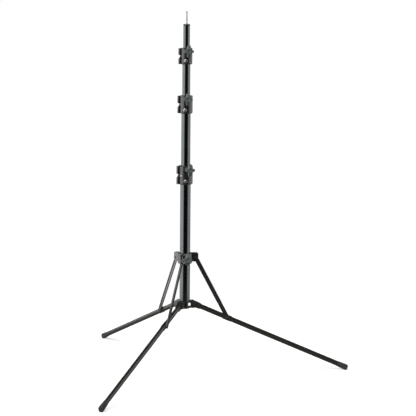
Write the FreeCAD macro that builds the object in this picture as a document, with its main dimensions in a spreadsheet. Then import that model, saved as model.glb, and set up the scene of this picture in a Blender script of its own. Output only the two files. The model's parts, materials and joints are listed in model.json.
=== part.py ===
"""Compact four-section lighting stand with three folding legs.

Millimetres, +Z up.  The origin is the point of the floor under the column's axis.
The right leg points along +X, the rear leg to +120 degrees and the front leg to -120 degrees.
Each piece is a document object whose sizes are bound to the "sizes" sheet.
"""
import FreeCAD, Part
import math
import os
import re
import Sketcher

Vector = FreeCAD.Vector
Rotation = FreeCAD.Rotation
Placement = FreeCAD.Placement

DRIVING = {
    # the four nested tubes of the column: outer radii, lower ends and the top of the last one
    "tube_wall": 1.5,
    "column_radius": 16.0,
    "column_bottom": 226.0,
    "lower_riser_radius": 14.0,
    "lower_riser_bottom": 420.0,
    "middle_riser_radius": 12.0,
    "middle_riser_bottom": 535.0,
    "upper_riser_radius": 10.0,
    "upper_riser_bottom": 616.0,
    "upper_riser_top": 1080.0,
    # clearances, and how far a cut runs past the solid
    "running_gap": 0.06,
    "seat_gap": 0.05,
    "body_gap": 0.3,
    "tube_end_gap": 0.1,
    "tangent_relief": 0.01,
    "overcut": 1.0,
    # glide bush at the foot of each riser
    "glide_flange": 8.0,
    "glide_spigot": 10.0,
    "glide_wall": 2.5,
    "glide_lead": 1.0,
    # lock collars: where each starts, how tall it is and which way its knob points
    "lower_collar_bottom": 594.0,
    "lower_collar_height": 58.0,
    "lower_collar_azimuth": -76.5,
    "middle_collar_bottom": 813.0,
    "middle_collar_height": 55.0,
    "middle_collar_azimuth": -86.0,
    "upper_collar_bottom": 963.0,
    "upper_collar_height": 50.0,
    "upper_collar_azimuth": -83.0,
    "collar_wall": 6.0,
    "collar_socket_depth": 23.0,
    "collar_ledge": 2.0,
    "collar_ledge_gap": 0.5,
    "collar_foot_chamfer": 3.0,
    "collar_top_chamfer": 1.0,
    "bush_lead": 0.8,
    # threaded boss of a clamp
    "boss_radius": 9.5,
    "boss_reach": 14.0,
    "insert_radius": 5.5,
    "insert_setback": 0.3,
    # brake pad
    "pad_width": 12.0,
    "pad_height": 15.0,
    "pad_thickness": 4.0,
    "pad_travel": 1.25,
    "pad_play": 0.3,
    # clamp stud and grip
    "stud_radius": 4.0,
    "stud_tip_gap": 0.2,
    "stud_in_grip": 13.0,
    "grip_gap": 0.6,
    "grip_neck_radius": 8.5,
    "grip_neck_length": 6.8,
    "grip_length": 19.0,
    "grip_core_radius": 9.0,
    "grip_neck_taper": 1.0,
    "grip_flare": 3.0,
    "grip_crown_height": 1.5,
    "grip_crown_inset": 4.0,
    "wing_half_height": 18.8,
    "wing_tip_half": 15.5,
    "wing_thickness": 11.0,
    "wing_depth": 5.0,
    "wing_root": 3.0,
    "wing_corner": 1.5,
    "wing_slope_length": 2.4,
    "wing_slope_drop": 3.0,
    "wing_end_gap": 0.6,
    "cross_half_width": 14.3,
    "cross_thickness": 8.4,
    "cross_depth": 7.5,
    "cross_root_length": 3.0,
    "cross_root": 4.0,
    "cross_corner": 1.5,
    # stacking hook on the side of a lock collar
    "hook_turn": -91.0,
    "hook_reach": 6.5,
    "hook_width": 13.0,
    "hook_web": 0.8,
    "hook_corner": 1.5,
    "hook_groove": 1.8,
    "hook_groove_depth": 5.0,
    "hook_groove_wall": 1.2,
    "hook_root": 2.0,
    # groove round the front of a lock collar, above its lower band
    "band_groove_lift": 1.2,
    "band_groove_width": 2.6,
    "band_groove_depth": 1.8,
    "band_groove_turn": -28.0,
    "band_groove_angle": 92.0,
    # screws of the lock collars
    "screw_turn": -17.0,
    "screw_height": 11.0,
    "screw_head_radius": 5.5,
    "screw_head_height": 2.4,
    "screw_dome": 1.2,
    "screw_recess": 0.9,
    "screw_shank_radius": 2.5,
    "screw_socket_radius": 1.7,
    "screw_socket_depth": 1.4,
    "set_screw_turn": -56.0,
    "set_screw_height": 27.0,
    "set_screw_scale": 0.6,
    "screw_tip_setback": 0.2,
    # base hub
    "hub_radius": 17.0,
    "hub_bottom": 203.0,
    "hub_chamfer": 1.5,
    "hub_bore": 9.0,
    "hub_spigot_length": 24.0,
    "hub_spigot_lead": 1.0,
    "hub_window_inner": 11.0,
    "hub_window_outer": 18.6,
    "hub_window_low": 208.5,
    "hub_window_high": 221.0,
    "ear_inner": 6.2,
    "ear_outer": 9.4,
    "ear_end": 34.5,
    "ear_low": 205.0,
    "ear_high": 228.0,
    "ear_slot_root": 19.5,
    "ear_corner": 7.0,
    "ear_foot_corner": 3.0,
    "ear_step": 0.4,
    "cross_pin_radius": 2.0,
    "cross_pin_slack": 0.02,
    "cross_pin_length": 9.0,
    "cross_pin_height": 238.0,
    "cross_pin_proud": 0.2,
    "rivet_head_taper": 0.8,
    # legs: pivot on the hub, slope at rest and section
    "leg_pivot_radius": 29.0,
    "leg_pivot_height": 217.0,
    "leg_slope": 23.2,
    "leg_width": 12.0,
    "leg_height": 15.5,
    "leg_wall": 1.2,
    "leg_tube_start": 24.0,
    "leg_tube_end": 520.0,
    "leg_pin_radius": 3.0,
    "leg_pin_head": 4.6,
    "leg_pin_head_height": 1.5,
    "leg_root_eye": 9.2,
    "leg_root_shoulder": 14.0,
    "leg_root_plug": 26.0,
    "leg_root_width": 11.8,
    "saddle_wall": 1.2,
    "saddle_half_length": 13.0,
    "foot_start": 497.0,
    "foot_end": 532.4,
    "foot_half_height": 8.8,
    "foot_width": 14.6,
    "foot_neck": 1.4,
    "foot_round": 2.4,
    "foot_shoulder": 14.0,
    # struts and their pivots
    "strut_pivot_on_leg": 115.0,
    "strut_top_radius": 35.0,
    "strut_top_height": 360.0,
    "strut_width": 13.3,
    "strut_inner": 7.5,
    "strut_outer": 10.5,
    "strut_web": 1.2,
    "strut_flange": 1.4,
    "strut_boss": 9.0,
    "strut_pin_head_height": 1.3,
    # leg collar
    "leg_collar_bottom": 346.0,
    "leg_collar_height": 33.0,
    "leg_collar_azimuth": -83.0,
    "leg_collar_liner": 1.1,
    "leg_collar_boss_height": 19.0,
    "lug_inner": 4.0,
    "lug_slot_inner": 7.2,
    "lug_slot_outer": 10.8,
    "lug_outer": 14.0,
    "lug_end": 42.0,
    "lug_low": 4.0,
    "lug_high": 32.0,
    "lug_slot_root": 27.8,
    "lug_corner": 4.0,
    "lug_root": 1.5,
    "lug_pin_head": 4.2,
    "lug_pin_head_height": 1.2,
    # top cap and spigot
    "cap_flange_radius": 10.5,
    "cap_flange_height": 5.0,
    "cap_plug_length": 14.0,
    "cap_chamfer": 1.2,
    "spigot_radius": 3.175,
    "spigot_top": 1124.0,
    "spigot_shoulder_radius": 5.2,
    "spigot_shoulder_height": 2.2,
    "spigot_shoulder_chamfer": 0.5,
    "spigot_tail_radius": 3.0,
    "spigot_tail_length": 24.0,
    "spigot_chamfer": 0.8,
    "nut_flats": 10.0,
    "nut_height": 5.0,
}

LEGS = {"right": 0.0, "rear": 120.0, "front": -120.0}
COLLARS = {
    "lower_collar": ("column_radius", "lower_riser_radius"),
    "middle_collar": ("lower_riser_radius", "middle_riser_radius"),
    "upper_collar": ("middle_riser_radius", "upper_riser_radius"),
}
RISERS = {
    "lower_riser": "column_radius",
    "middle_riser": "lower_riser_radius",
    "upper_riser": "middle_riser_radius",
}
FULL_TURN = 360.0
HOOK_FOOT = 1.0
HOOK_LOW_BLOCK = 0.32
HOOK_WEB_TOP = 0.47
HOOK_HIGH_BLOCK = 0.57

doc = FreeCAD.newDocument("lighting_stand")
sheet = doc.addObject("Spreadsheet::Sheet", "sizes")
for row, (alias, number) in enumerate(DRIVING.items(), start=1):
    sheet.set(f"A{row}", alias)
    sheet.set(f"B{row}", str(number))
    sheet.setAlias(f"B{row}", alias)
doc.recompute()

parts = []


# ---------------------------------------------------------------- small helpers

def bound(expression):
    """Expression over the sheet's aliases, as the document's expression engine reads it."""
    functions = ("sin", "cos", "tan")
    return re.sub(
        r"[a-z][a-z_]*",
        lambda word: word[0] if word[0] in functions else f"{sheet.Name}.{word[0]}",
        str(expression),
    )


def value(expression):
    """Number that an expression over the sheet's aliases has now."""
    result = sheet.evalExpression(bound(expression))
    return float(getattr(result, "Value", result))


def new_body(label):
    body = doc.addObject("PartDesign::Body", label)
    body.Label = label
    parts.append(body)
    return body


def origin_feature(body, role):
    return next(item for item in body.Origin.OriginFeatures if item.Role == role)


def new_sketch(body, name, role, turn=0.0, shift=None):
    """Sketch on an origin plane turned about the stand's axis, then shifted along its own normal."""
    sketch = body.newObject("Sketcher::SketchObject", f"{body.Label}_{name}")
    sketch.AttachmentSupport = [(origin_feature(body, role), "")]
    sketch.MapMode = "FlatFace"
    lean = Rotation(Vector(0, 1, 0), value(turn))
    sketch.AttachmentOffset = Placement(lean.multVec(Vector(0, 0, value(shift or 0))), lean)
    if shift is not None:
        sketch.setExpression("AttachmentOffset.Base.x", bound(f"({shift}) * sin({turn})"))
        sketch.setExpression("AttachmentOffset.Base.z", bound(f"({shift}) * cos({turn})"))
    return sketch


def pin_down(sketch, geometry, corner, x, y, name):
    """Bind one point of a sketch to the sheet, measured from the sketch's origin."""
    for axis, expression in (("X", x), ("Y", y)):
        number = value(expression)
        constraint = Sketcher.Constraint(f"Distance{axis}", -1, 1, geometry, corner, number)
        index = sketch.addConstraint(constraint)
        label = f"{name}_{axis.lower()}"
        sketch.renameConstraint(index, label)
        sketch.setExpression(f"Constraints.{label}", bound(expression))


def polygon(sketch, points):
    """Closed outline through points given as pairs of sheet expressions."""
    corners = [Vector(value(x), value(y), 0) for x, y in points]
    first = sketch.GeometryCount
    count = len(points)
    for index in range(count):
        sketch.addGeometry(Part.LineSegment(corners[index], corners[(index + 1) % count]))
    for index in range(count):
        following = first + (index + 1) % count
        sketch.addConstraint(Sketcher.Constraint("Coincident", first + index, 2, following, 1))
    for index, (x, y) in enumerate(points):
        pin_down(sketch, first + index, 1, x, y, f"corner{first + index}")


def rectangle(sketch, low_x, high_x, low_y, high_y):
    polygon(sketch, [(low_x, low_y), (high_x, low_y), (high_x, high_y), (low_x, high_y)])


def circle(sketch, x, y, radius):
    centre = Vector(value(x), value(y), 0)
    index = sketch.addGeometry(Part.Circle(centre, Vector(0, 0, 1), value(radius)))
    pin_down(sketch, index, 3, x, y, f"centre{index}")
    size = sketch.addConstraint(Sketcher.Constraint("Radius", index, value(radius)))
    sketch.renameConstraint(size, f"radius{index}")
    sketch.setExpression(f"Constraints.radius{index}", bound(radius))


def obround(sketch, start, end, radius, upright=False):
    """Two half circles about start and end on one sketch axis, joined by straight sides."""
    low, high, size = value(start), value(end), value(radius)
    quarter = math.pi / 2
    lean = quarter if upright else 0.0
    along = Vector(0, 1, 0) if upright else Vector(1, 0, 0)
    side = Vector(-1, 0, 0) if upright else Vector(0, 1, 0)
    up = Vector(0, 0, 1)
    near = Part.ArcOfCircle(Part.Circle(along * low, up, size), quarter + lean, 3 * quarter + lean)
    far = Part.ArcOfCircle(Part.Circle(along * high, up, size), -quarter + lean, quarter + lean)
    near_id = sketch.addGeometry(near)
    far_id = sketch.addGeometry(far)
    one = sketch.addGeometry(Part.LineSegment(along * low - side * size, along * high - side * size))
    two = sketch.addGeometry(Part.LineSegment(along * high + side * size, along * low + side * size))
    joins = ((near_id, 2, one, 1), (one, 2, far_id, 1), (far_id, 2, two, 1), (two, 2, near_id, 1))
    for join in joins:
        sketch.addConstraint(Sketcher.Constraint("Tangent", *join))
    for index, place in ((near_id, start), (far_id, end)):
        x, y = (0, place) if upright else (place, 0)
        pin_down(sketch, index, 3, x, y, f"centre{index}")
    label = sketch.addConstraint(Sketcher.Constraint("Radius", near_id, size))
    sketch.renameConstraint(label, f"radius{near_id}")
    sketch.setExpression(f"Constraints.radius{near_id}", bound(radius))


def feature(kind, body, name, sketch, length=None, **settings):
    """Sketch-based feature; a length may be an expression over the sheet's aliases."""
    made = body.newObject(f"PartDesign::{kind}", f"{body.Label}_{name}")
    made.Profile = sketch
    if length is not None:
        made.Length = value(length)
        made.setExpression("Length", bound(length))
    for key, setting in settings.items():
        setattr(made, key, setting)
    sketch.Visibility = False
    return made


def revolved(kind, body, name, points, axis="V_Axis"):
    """Solid or cut of revolution from a profile of (radius, height) pairs."""
    sketch = new_sketch(body, f"{name}_profile", "XZ_Plane")
    polygon(sketch, points)
    return feature(kind, body, name, sketch, ReferenceAxis=(sketch, [axis]), Angle=FULL_TURN)


def repeated(body, name, features, count):
    pattern = body.newObject("PartDesign::PolarPattern", f"{body.Label}_{name}")
    pattern.Originals = features
    pattern.Axis = (origin_feature(body, "Z_Axis"), [""])
    pattern.Angle = FULL_TURN
    pattern.Occurrences = count
    body.Tip = pattern
    return pattern


def grouped(label, shapes):
    """Node of several separate solids, from shapes already in the stand's frame."""
    group = doc.addObject("Part::Feature", label)
    group.Label = label
    group.Shape = Part.makeCompound(shapes)
    group.Placement = Placement()
    parts.append(group)
    return group


def turned(shape, azimuth):
    copy = shape.copy()
    copy.rotate(Vector(), Vector(0, 0, 1), azimuth)
    return copy


def turn_and_lift(azimuth, height):
    return Placement(Vector(0, 0, height), Rotation(Vector(0, 0, 1), azimuth))


# ---------------------------------------------------------------- column and risers

def make_tube(name, top, holes=()):
    """Drawn tube up to a given height, with side holes given by azimuth, level and radius."""
    body = new_body(f"{name}_tube")
    radius = f"{name}_radius"
    section = new_sketch(body, "section", "XY_Plane")
    circle(section, 0, 0, radius)
    circle(section, 0, 0, f"{radius} - tube_wall")
    feature("Pad", body, "wall", section, f"{top} - {name}_bottom")
    for index, (azimuth, level, hole_radius) in enumerate(holes):
        hole = new_sketch(body, f"hole{index}", "YZ_Plane", azimuth)
        circle(hole, 0, f"{level} - {name}_bottom", hole_radius)
        feature("Pocket", body, f"hole_cut{index}", hole, f"{radius} + overcut", Reversed=True)
    body.Placement = turn_and_lift(0, value(f"{name}_bottom"))


def collar_screw_hole(collar):
    return (f"{collar}_azimuth + screw_turn", f"{collar}_bottom + screw_height",
            "screw_shank_radius + seat_gap")


def socket_end(collar):
    """Height of a tube that ends just short of the ledge in the collar clamped on it."""
    return f"{collar}_bottom + collar_socket_depth - tube_end_gap"


def make_tubes():
    cross_pin = (90, "cross_pin_height", "cross_pin_radius")
    make_tube("column", socket_end("lower_collar"), [collar_screw_hole("lower_collar"), cross_pin])
    make_tube("lower_riser", socket_end("middle_collar"), [collar_screw_hole("middle_collar")])
    make_tube("middle_riser", socket_end("upper_collar"), [collar_screw_hole("upper_collar")])
    make_tube("upper_riser", "upper_riser_top")


def make_glides():
    """Plastic bush on each riser's foot, which slides in the tube outside and lets it swivel."""
    for name, outside in RISERS.items():
        body = new_body(f"{name}_glide")
        rim = f"{outside} - tube_wall - running_gap"
        neck = f"{name}_radius - tube_wall - running_gap"
        bore = f"{name}_radius - tube_wall - glide_wall"
        top = "glide_flange + glide_spigot"
        revolved("Revolution", body, "bush", [
            (bore, 0), (f"{rim} - glide_lead", 0), (rim, "glide_lead"), (rim, "glide_flange"),
            (neck, "glide_flange"), (neck, top), (bore, top)])
        foot = f"{name}_bottom - glide_flange - body_gap"
        body.Placement = turn_and_lift(0, value(foot))


# ---------------------------------------------------------------- clamps

def cut_pad_window(body, level, depth, turn=0):
    """Rectangular window for the brake pad, from the axis out to a given depth."""
    window = new_sketch(body, "pad_window", "YZ_Plane", turn)
    half = "pad_width / 2 + pad_play"
    rise = "pad_height / 2 + pad_play"
    rectangle(window, f"-({half})", half, f"{level} - ({rise})", f"{level} + {rise}")
    feature("Pocket", body, "pad_window_cut", window, depth, Reversed=True)


def cut_clamp(body, riser, collar_radius, level, turn=0):
    """Bores of a clamp's boss and the pocket that its pad moves in."""
    reach = f"{collar_radius} + boss_reach"
    cut_pad_window(body, level, f"{riser} + pad_thickness + pad_travel + 2 * pad_play", turn)
    bore = new_sketch(body, "stud_bore", "YZ_Plane", turn)
    circle(bore, 0, level, "stud_radius + body_gap")
    feature("Pocket", body, "stud_cut", bore, reach, Reversed=True)
    seat = new_sketch(body, "insert_seat", "YZ_Plane", turn, f"{collar_radius} + insert_setback")
    circle(seat, 0, level, "insert_radius + seat_gap")
    feature("Pocket", body, "insert_cut", seat, "boss_reach", Reversed=True)


def make_clamp(name, riser, collar_radius, level, azimuth, bottom):
    """Threaded insert, brake pad, stud and grip of one clamp, along +X before it is turned."""
    place = turn_and_lift(value(azimuth), value(bottom))
    insert = new_body(f"{name}_insert")
    start = f"{collar_radius} + insert_setback"
    ring = new_sketch(insert, "ring", "YZ_Plane", shift=start)
    circle(ring, 0, level, "insert_radius")
    circle(ring, 0, level, "stud_radius + seat_gap")
    feature("Pad", insert, "sleeve", ring, "boss_reach - 2 * insert_setback")

    pad = new_body(f"{name}_pad")
    face = new_sketch(pad, "face", "YZ_Plane")
    rectangle(face, "-pad_width / 2", "pad_width / 2",
              f"{level} - pad_height / 2", f"{level} + pad_height / 2")
    feature("Pad", pad, "block", face, f"{riser} + body_gap + pad_thickness")
    hollow = new_sketch(pad, "hollow", "XY_Plane")
    circle(hollow, 0, 0, f"{riser} + body_gap")
    feature("Pocket", pad, "hollow_cut", hollow, f"{level} + pad_height", Reversed=True)

    stud = new_body(f"{name}_stud")
    tip = f"{riser} + body_gap + pad_thickness + stud_tip_gap"
    end = new_sketch(stud, "end", "YZ_Plane", shift=tip)
    circle(end, 0, level, "stud_radius")
    length = f"{collar_radius} + boss_reach + grip_gap + stud_in_grip - ({tip})"
    feature("Pad", stud, "shank", end, length)

    for piece in (insert, pad, stud):
        piece.Placement = place
    grip = make_grip(f"{name}_knob")
    root = Vector(value(f"{collar_radius} + boss_reach + grip_gap"), 0, value(level))
    grip.Placement = place.multiply(Placement(root, Rotation()))


def make_grip(label):
    """Knob grip along +X: a round neck and core, two long wings and two short cross wings."""
    body = new_body(label)
    revolved("Revolution", body, "core", [
        (0, 0), (0, "grip_neck_radius"), ("grip_neck_length", "grip_neck_radius - grip_neck_taper"),
        ("grip_neck_length + grip_flare", "grip_core_radius"),
        ("grip_length - grip_crown_height", "grip_core_radius - grip_neck_taper"),
        ("grip_length", "grip_core_radius - grip_crown_inset"), ("grip_length", 0)], axis="H_Axis")
    wing = new_sketch(body, "wing", "XZ_Plane")
    polygon(wing, both_sides([
        ("grip_neck_length", "grip_core_radius - wing_root"),
        ("grip_neck_length", "wing_tip_half"),
        ("grip_neck_length + wing_corner", "wing_half_height"),
        ("grip_neck_length + wing_depth", "wing_half_height"),
        ("grip_neck_length + wing_depth + wing_slope_length", "wing_half_height - wing_slope_drop"),
        ("grip_length - wing_end_gap", "grip_core_radius - wing_root")]))
    feature("Pad", body, "wings", wing, "wing_thickness", Midplane=True)
    cross = new_sketch(body, "cross", "XY_Plane")
    polygon(cross, both_sides([
        ("grip_length - cross_depth - cross_root_length", "grip_core_radius - cross_root"),
        ("grip_length - cross_depth", "cross_half_width - cross_corner"),
        ("grip_length - cross_depth + cross_corner", "cross_half_width"),
        ("grip_length - cross_corner", "cross_half_width"),
        ("grip_length", "cross_half_width - cross_corner")]))
    feature("Pad", body, "cross_wings", cross, "cross_thickness", Midplane=True)
    hole = new_sketch(body, "stud_hole", "YZ_Plane")
    circle(hole, 0, 0, "stud_radius")
    feature("Pocket", body, "stud_cut", hole, "stud_in_grip", Reversed=True)
    return body


def both_sides(points):
    """Outline of one side of the X axis followed by its mirror image."""
    return points + [(x, f"-({y})") for x, y in reversed(points)]


# ---------------------------------------------------------------- lock collars

def make_lock_collar(name, holder, riser):
    """Cast collar clamped on one tube, guiding the next one up, with its stacking hook."""
    height = f"{name}_height"
    level = f"{height} - boss_radius"
    outer = f"{holder} + collar_wall"
    azimuth = f"{name}_azimuth"
    body = new_body(f"{name}_body")
    revolved("Revolution", body, "barrel", [
        (0, 0), (f"{outer} - collar_foot_chamfer", 0), (outer, "collar_foot_chamfer"),
        (outer, f"{height} - collar_top_chamfer"), (f"{outer} - collar_top_chamfer", height),
        (0, height)])
    add_boss(body, outer, level)
    add_hook(body, outer, height)
    socket = f"{holder} + seat_gap"
    waist = f"{riser} + collar_ledge_gap"
    ledge = "collar_socket_depth + collar_ledge"
    revolved("Groove", body, "bore", [
        (0, "-overcut"), (socket, "-overcut"), (socket, "collar_socket_depth"),
        (waist, "collar_socket_depth"), (waist, ledge), (socket, ledge),
        (socket, f"{height} + overcut"), (0, f"{height} + overcut")])
    cut_band_groove(body, outer, height)
    cut_clamp(body, riser, outer, level)
    cut_screw(body, "screw", outer, 1)
    if name == "lower_collar":
        cut_screw(body, "set_screw", outer, "set_screw_scale")
    body.Placement = turn_and_lift(value(azimuth), value(f"{name}_bottom"))

    bush = new_body(f"{name}_bush")
    rim = f"{holder} - seat_gap"
    throat = f"{riser} + running_gap"
    revolved("Revolution", bush, "sleeve", [
        (throat, f"{ledge} + seat_gap"), (rim, f"{ledge} + seat_gap"),
        (rim, height), (f"{throat} + bush_lead", height), (throat, f"{height} - bush_lead")])
    cut_pad_window(bush, level, holder)
    bush.Placement = body.Placement

    make_collar_screws(name, holder, outer)
    make_clamp(name, riser, outer, level, azimuth, f"{name}_bottom")


def add_boss(body, outer, level, turn=0):
    """Round boss that holds the threaded insert of a clamp."""
    ring = new_sketch(body, "boss", "YZ_Plane", turn)
    circle(ring, 0, level, "boss_radius")
    feature("Pad", body, "boss_pad", ring, f"{outer} + boss_reach")


def add_hook(body, outer, height):
    """Two stacked blocks with a gap between them, joined by a sloping web."""
    tip = f"{outer} + hook_reach"
    web = f"{outer} + hook_web"
    side = new_sketch(body, "hook", "XZ_Plane", turn="hook_turn")
    polygon(side, [
        (f"{outer} - hook_root", HOOK_FOOT), (f"{tip} - hook_corner", HOOK_FOOT),
        (tip, f"{HOOK_FOOT} + hook_corner"), (tip, f"{height} * {HOOK_LOW_BLOCK}"),
        (web, f"{height} * {HOOK_WEB_TOP}"), (web, f"{height} * {HOOK_HIGH_BLOCK}"),
        (f"{tip} - hook_corner", f"{height} * {HOOK_HIGH_BLOCK}"),
        (tip, f"{height} * {HOOK_HIGH_BLOCK} + hook_corner"),
        (tip, f"{height} - {HOOK_FOOT}"), (f"{outer} - hook_root", f"{height} - {HOOK_FOOT}")])
    feature("Pad", body, "hook_pad", side, "hook_width", Midplane=True)
    groove = new_sketch(body, "hook_groove", "XZ_Plane", turn="hook_turn",
                        shift="-hook_width / 2 + hook_groove_depth")
    inner = f"{outer} + hook_groove_wall"
    rectangle(groove, inner, f"{inner} + hook_groove", 0, height)
    feature("Pocket", body, "hook_groove_cut", groove, "hook_width")


def cut_band_groove(body, outer, height):
    """Shallow groove that runs from the hook round the front, above the lower band."""
    floor = f"{outer} - band_groove_depth"
    low = f"{height} * {HOOK_LOW_BLOCK} + band_groove_lift"
    profile = new_sketch(body, "band_profile", "XZ_Plane", turn="band_groove_turn")
    rectangle(profile, floor, f"{outer} + overcut", low, f"{low} + band_groove_width")
    feature("Groove", body, "band_groove_cut", profile, ReferenceAxis=(profile, ["V_Axis"]),
            Angle=value("band_groove_angle"), Midplane=True)


def cut_screw(body, screw, outer, scale):
    """Flat recess and shank hole of a radial screw."""
    seat = new_sketch(body, f"{screw}_seat", "YZ_Plane", turn=f"{screw}_turn",
                      shift=f"{outer} - screw_recess")
    circle(seat, 0, f"{screw}_height", f"(screw_head_radius + body_gap) * {scale}")
    feature("Pocket", body, f"{screw}_seat_cut", seat, "collar_wall", Reversed=True)
    hole = new_sketch(body, f"{screw}_hole", "YZ_Plane", turn=f"{screw}_turn")
    circle(hole, 0, f"{screw}_height", f"(screw_shank_radius + seat_gap) * {scale}")
    feature("Pocket", body, f"{screw}_hole_cut", hole, outer, Reversed=True)


def screw_shape(tip, face, scale):
    """Domed socket screw along +X, from its tip to the face that its head sits on."""
    head_radius = value("screw_head_radius") * scale
    dome = value("screw_dome") * scale
    head = value("screw_head_height") * scale
    shank = Part.makeCylinder(value("screw_shank_radius") * scale, face - tip,
                              Vector(tip, 0, 0), Vector(1, 0, 0))
    rim = Part.makeCylinder(head_radius, head - dome, Vector(face, 0, 0), Vector(1, 0, 0))
    # A sphere through the rim and the crown gives the dome.
    ball = (head_radius ** 2 + dome ** 2) / (2 * dome)
    crown = Part.makeSphere(ball, Vector(face + head - ball, 0, 0))
    keep = Part.makeCylinder(head_radius, dome, Vector(face + head - dome, 0, 0), Vector(1, 0, 0))
    socket_depth = value("screw_socket_depth") * scale
    socket = Part.makeCylinder(value("screw_socket_radius") * scale, socket_depth,
                               Vector(face + head - socket_depth, 0, 0), Vector(1, 0, 0))
    return shank.fuse([rim, crown.common(keep)]).removeSplitter().cut(socket)


def make_collar_screws(name, holder, outer):
    """Screw through the collar and its tube; the lower collar also has a small set screw."""
    face = value(f"{outer} - screw_recess")
    main = screw_shape(value(f"{holder} - tube_wall + screw_tip_setback"), face, 1.0)
    screws = [("screw", main)]
    if name == "lower_collar":
        stop = value(f"{holder} + collar_wall / 2")
        screws.append(("set_screw", screw_shape(stop, face, value("set_screw_scale"))))
    shapes = []
    for screw, shape in screws:
        shape.translate(Vector(0, 0, value(f"{name}_bottom + {screw}_height")))
        shapes.append(turned(shape, value(f"{name}_azimuth + {screw}_turn")))
    grouped(f"{name}_screws", shapes)


# ---------------------------------------------------------------- base hub

def make_hub():
    """Cast hub: a round core with three windows, a spigot and three clevises for the legs."""
    hub = new_body("base_hub")
    roof = "column_bottom"
    spigot = "column_radius - tube_wall - seat_gap"
    spigot_top = "column_bottom + hub_spigot_length"
    revolved("Revolution", hub, "core", [
        ("hub_bore", "hub_bottom"), ("hub_radius - hub_chamfer", "hub_bottom"),
        ("hub_radius", "hub_bottom + hub_chamfer"), ("hub_radius", roof), (spigot, roof),
        (spigot, f"{spigot_top} - hub_spigot_lead"), (f"{spigot} - hub_spigot_lead", spigot_top),
        ("hub_bore", spigot_top)])
    ear = new_sketch(hub, "ear", "XZ_Plane")
    polygon(ear, [
        ("hub_window_inner", "ear_low"), ("ear_end - ear_foot_corner", "ear_low"),
        ("ear_end", "ear_low + ear_foot_corner"), ("ear_end", "ear_high - ear_corner"),
        ("ear_end - ear_corner", "ear_high"), ("hub_radius + ear_step", "ear_high"),
        ("hub_radius + ear_step", roof), ("hub_window_inner", roof)])
    ears = feature("Pad", hub, "ear_pad", ear, "2 * ear_outer", Midplane=True)
    repeated(hub, "ears", [ears], len(LEGS))
    slot = new_sketch(hub, "slot", "XZ_Plane")
    rectangle(slot, "ear_slot_root", "ear_end + overcut", "ear_low - overcut", "ear_high + overcut")
    slots = feature("Pocket", hub, "slot_cut", slot, "2 * ear_inner", Midplane=True)
    repeated(hub, "slots", [slots], len(LEGS))
    window = new_sketch(hub, "window", "XZ_Plane")
    rectangle(window, "hub_window_inner", "hub_window_outer", "hub_window_low", "hub_window_high")
    windows = feature("Pocket", hub, "window_cut", window, "4 * hub_radius", Midplane=True)
    repeated(hub, "windows", [windows], len(LEGS))
    bore = new_sketch(hub, "pin_bore", "XZ_Plane")
    circle(bore, "leg_pivot_radius", "leg_pivot_height", "leg_pin_radius")
    bores = feature("Pocket", hub, "pin_cut", bore, "3 * ear_outer", Midplane=True)
    repeated(hub, "pin_bores", [bores], len(LEGS))
    cross = new_sketch(hub, "cross_bore", "XZ_Plane")
    circle(cross, 0, "cross_pin_height", "cross_pin_radius")
    feature("Pocket", hub, "cross_cut", cross, "2 * hub_radius")
    return hub


def pin_along_y(radius, half_length, head_radius, head_height, low=None):
    """Headed pin along +Y; low gives its lower end where it isn't symmetric."""
    bottom = -half_length if low is None else low
    axis = Vector(0, 1, 0)
    crown = head_radius - value("rivet_head_taper")
    shank = Part.makeCylinder(radius, half_length - bottom, Vector(0, bottom, 0), axis)
    heads = [
        Part.makeCone(head_radius, crown, head_height, Vector(0, half_length, 0), axis),
        Part.makeCone(head_radius, crown, head_height, Vector(0, bottom, 0), -axis)]
    return shank.fuse(heads).removeSplitter()


def make_hub_pins():
    """Rivets that the legs turn on, and the pin that holds the column tube on its spigot."""
    rivet = pin_along_y(value("leg_pin_radius"), value("ear_outer"), value("leg_pin_head"),
                        value("leg_pin_head_height"))
    rivet.translate(Vector(value("leg_pivot_radius"), 0, value("leg_pivot_height")))
    grouped("leg_pivot_pins", [turned(rivet, azimuth) for azimuth in LEGS.values()])
    pin = new_body("hub_cross_pin")
    end = new_sketch(pin, "end", "XZ_Plane", shift="-column_radius - cross_pin_proud")
    circle(end, 0, "cross_pin_height", "cross_pin_radius - cross_pin_slack")
    feature("Pad", pin, "shank", end, "cross_pin_length")


# ---------------------------------------------------------------- legs

def leg_placement(azimuth):
    """Places a leg drawn along +X from its pivot: tilted down, then turned about the column."""
    tilt = Rotation(Vector(0, 1, 0), value("leg_slope"))
    turn = Rotation(Vector(0, 0, 1), azimuth)
    pivot = Vector(value("leg_pivot_radius"), 0, value("leg_pivot_height"))
    return Placement(turn.multVec(pivot), turn.multiply(tilt))


def leg_section(sketch, inset):
    """Upright obround section of a leg, drawn a given distance inside its outer surface."""
    half = "(leg_height - leg_width) / 2"
    obround(sketch, f"-({half})", half, f"leg_width / 2 - ({inset})", upright=True)


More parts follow.
